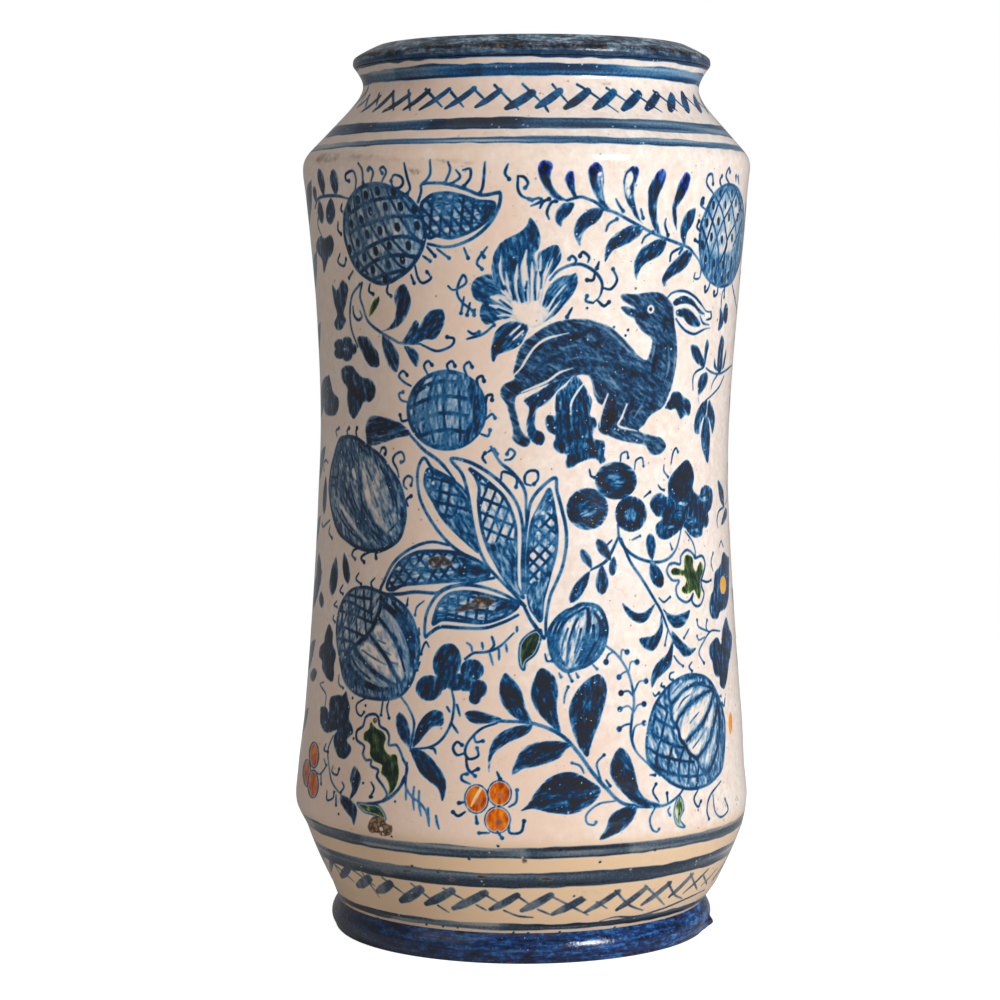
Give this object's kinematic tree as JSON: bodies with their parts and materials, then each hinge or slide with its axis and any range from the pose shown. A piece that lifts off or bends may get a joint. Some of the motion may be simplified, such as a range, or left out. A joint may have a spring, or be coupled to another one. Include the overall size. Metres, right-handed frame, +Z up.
{
  "type": "albarello",
  "caption": "Waisted tin-glazed earthenware drug jar with sloping shoulder, flared blue lip and blue foot, painted with cobalt foliage, fruit and a running hound.",
  "frame": {"origin": "centre of the foot's resting face, on the jar's axis", "axes": "+Z up along the jar's axis to the mouth; -Y is the side the picture shows, with the hound"},
  "size_m": [0.1552, 0.1552, 0.2994],
  "materials": {
    "clay": "bare fired buff earthenware, matte",
    "tin_glaze": "cream tin-white glaze, glossy with pinholes, painted in cobalt, green and orange",
    "blue_glaze": "deep cobalt glaze, glossy, worn brown at the edge",
    "cobalt_band": "brushed cobalt line under the gloss"
  },
  "bodies": {
    "root": {"foot_ring": "clay", "floor_disc": "clay", "base_wall": "clay", "lower_drum": "clay", "upper_drum": "clay", "shoulder_cone": "clay", "neck_collar": "clay", "lip_roll": "clay", "foot_glaze": "blue_glaze", "body_glaze": "tin_glaze", "rim_glaze": "blue_glaze", "lining": "tin_glaze", "neck_band": "cobalt_band", "shoulder_band_wide": "cobalt_band", "shoulder_band_thin": "cobalt_band", "base_band_upper": "cobalt_band", "base_band_lower": "cobalt_band", "foot_line": "cobalt_band"}
  },
  "joints": []
}
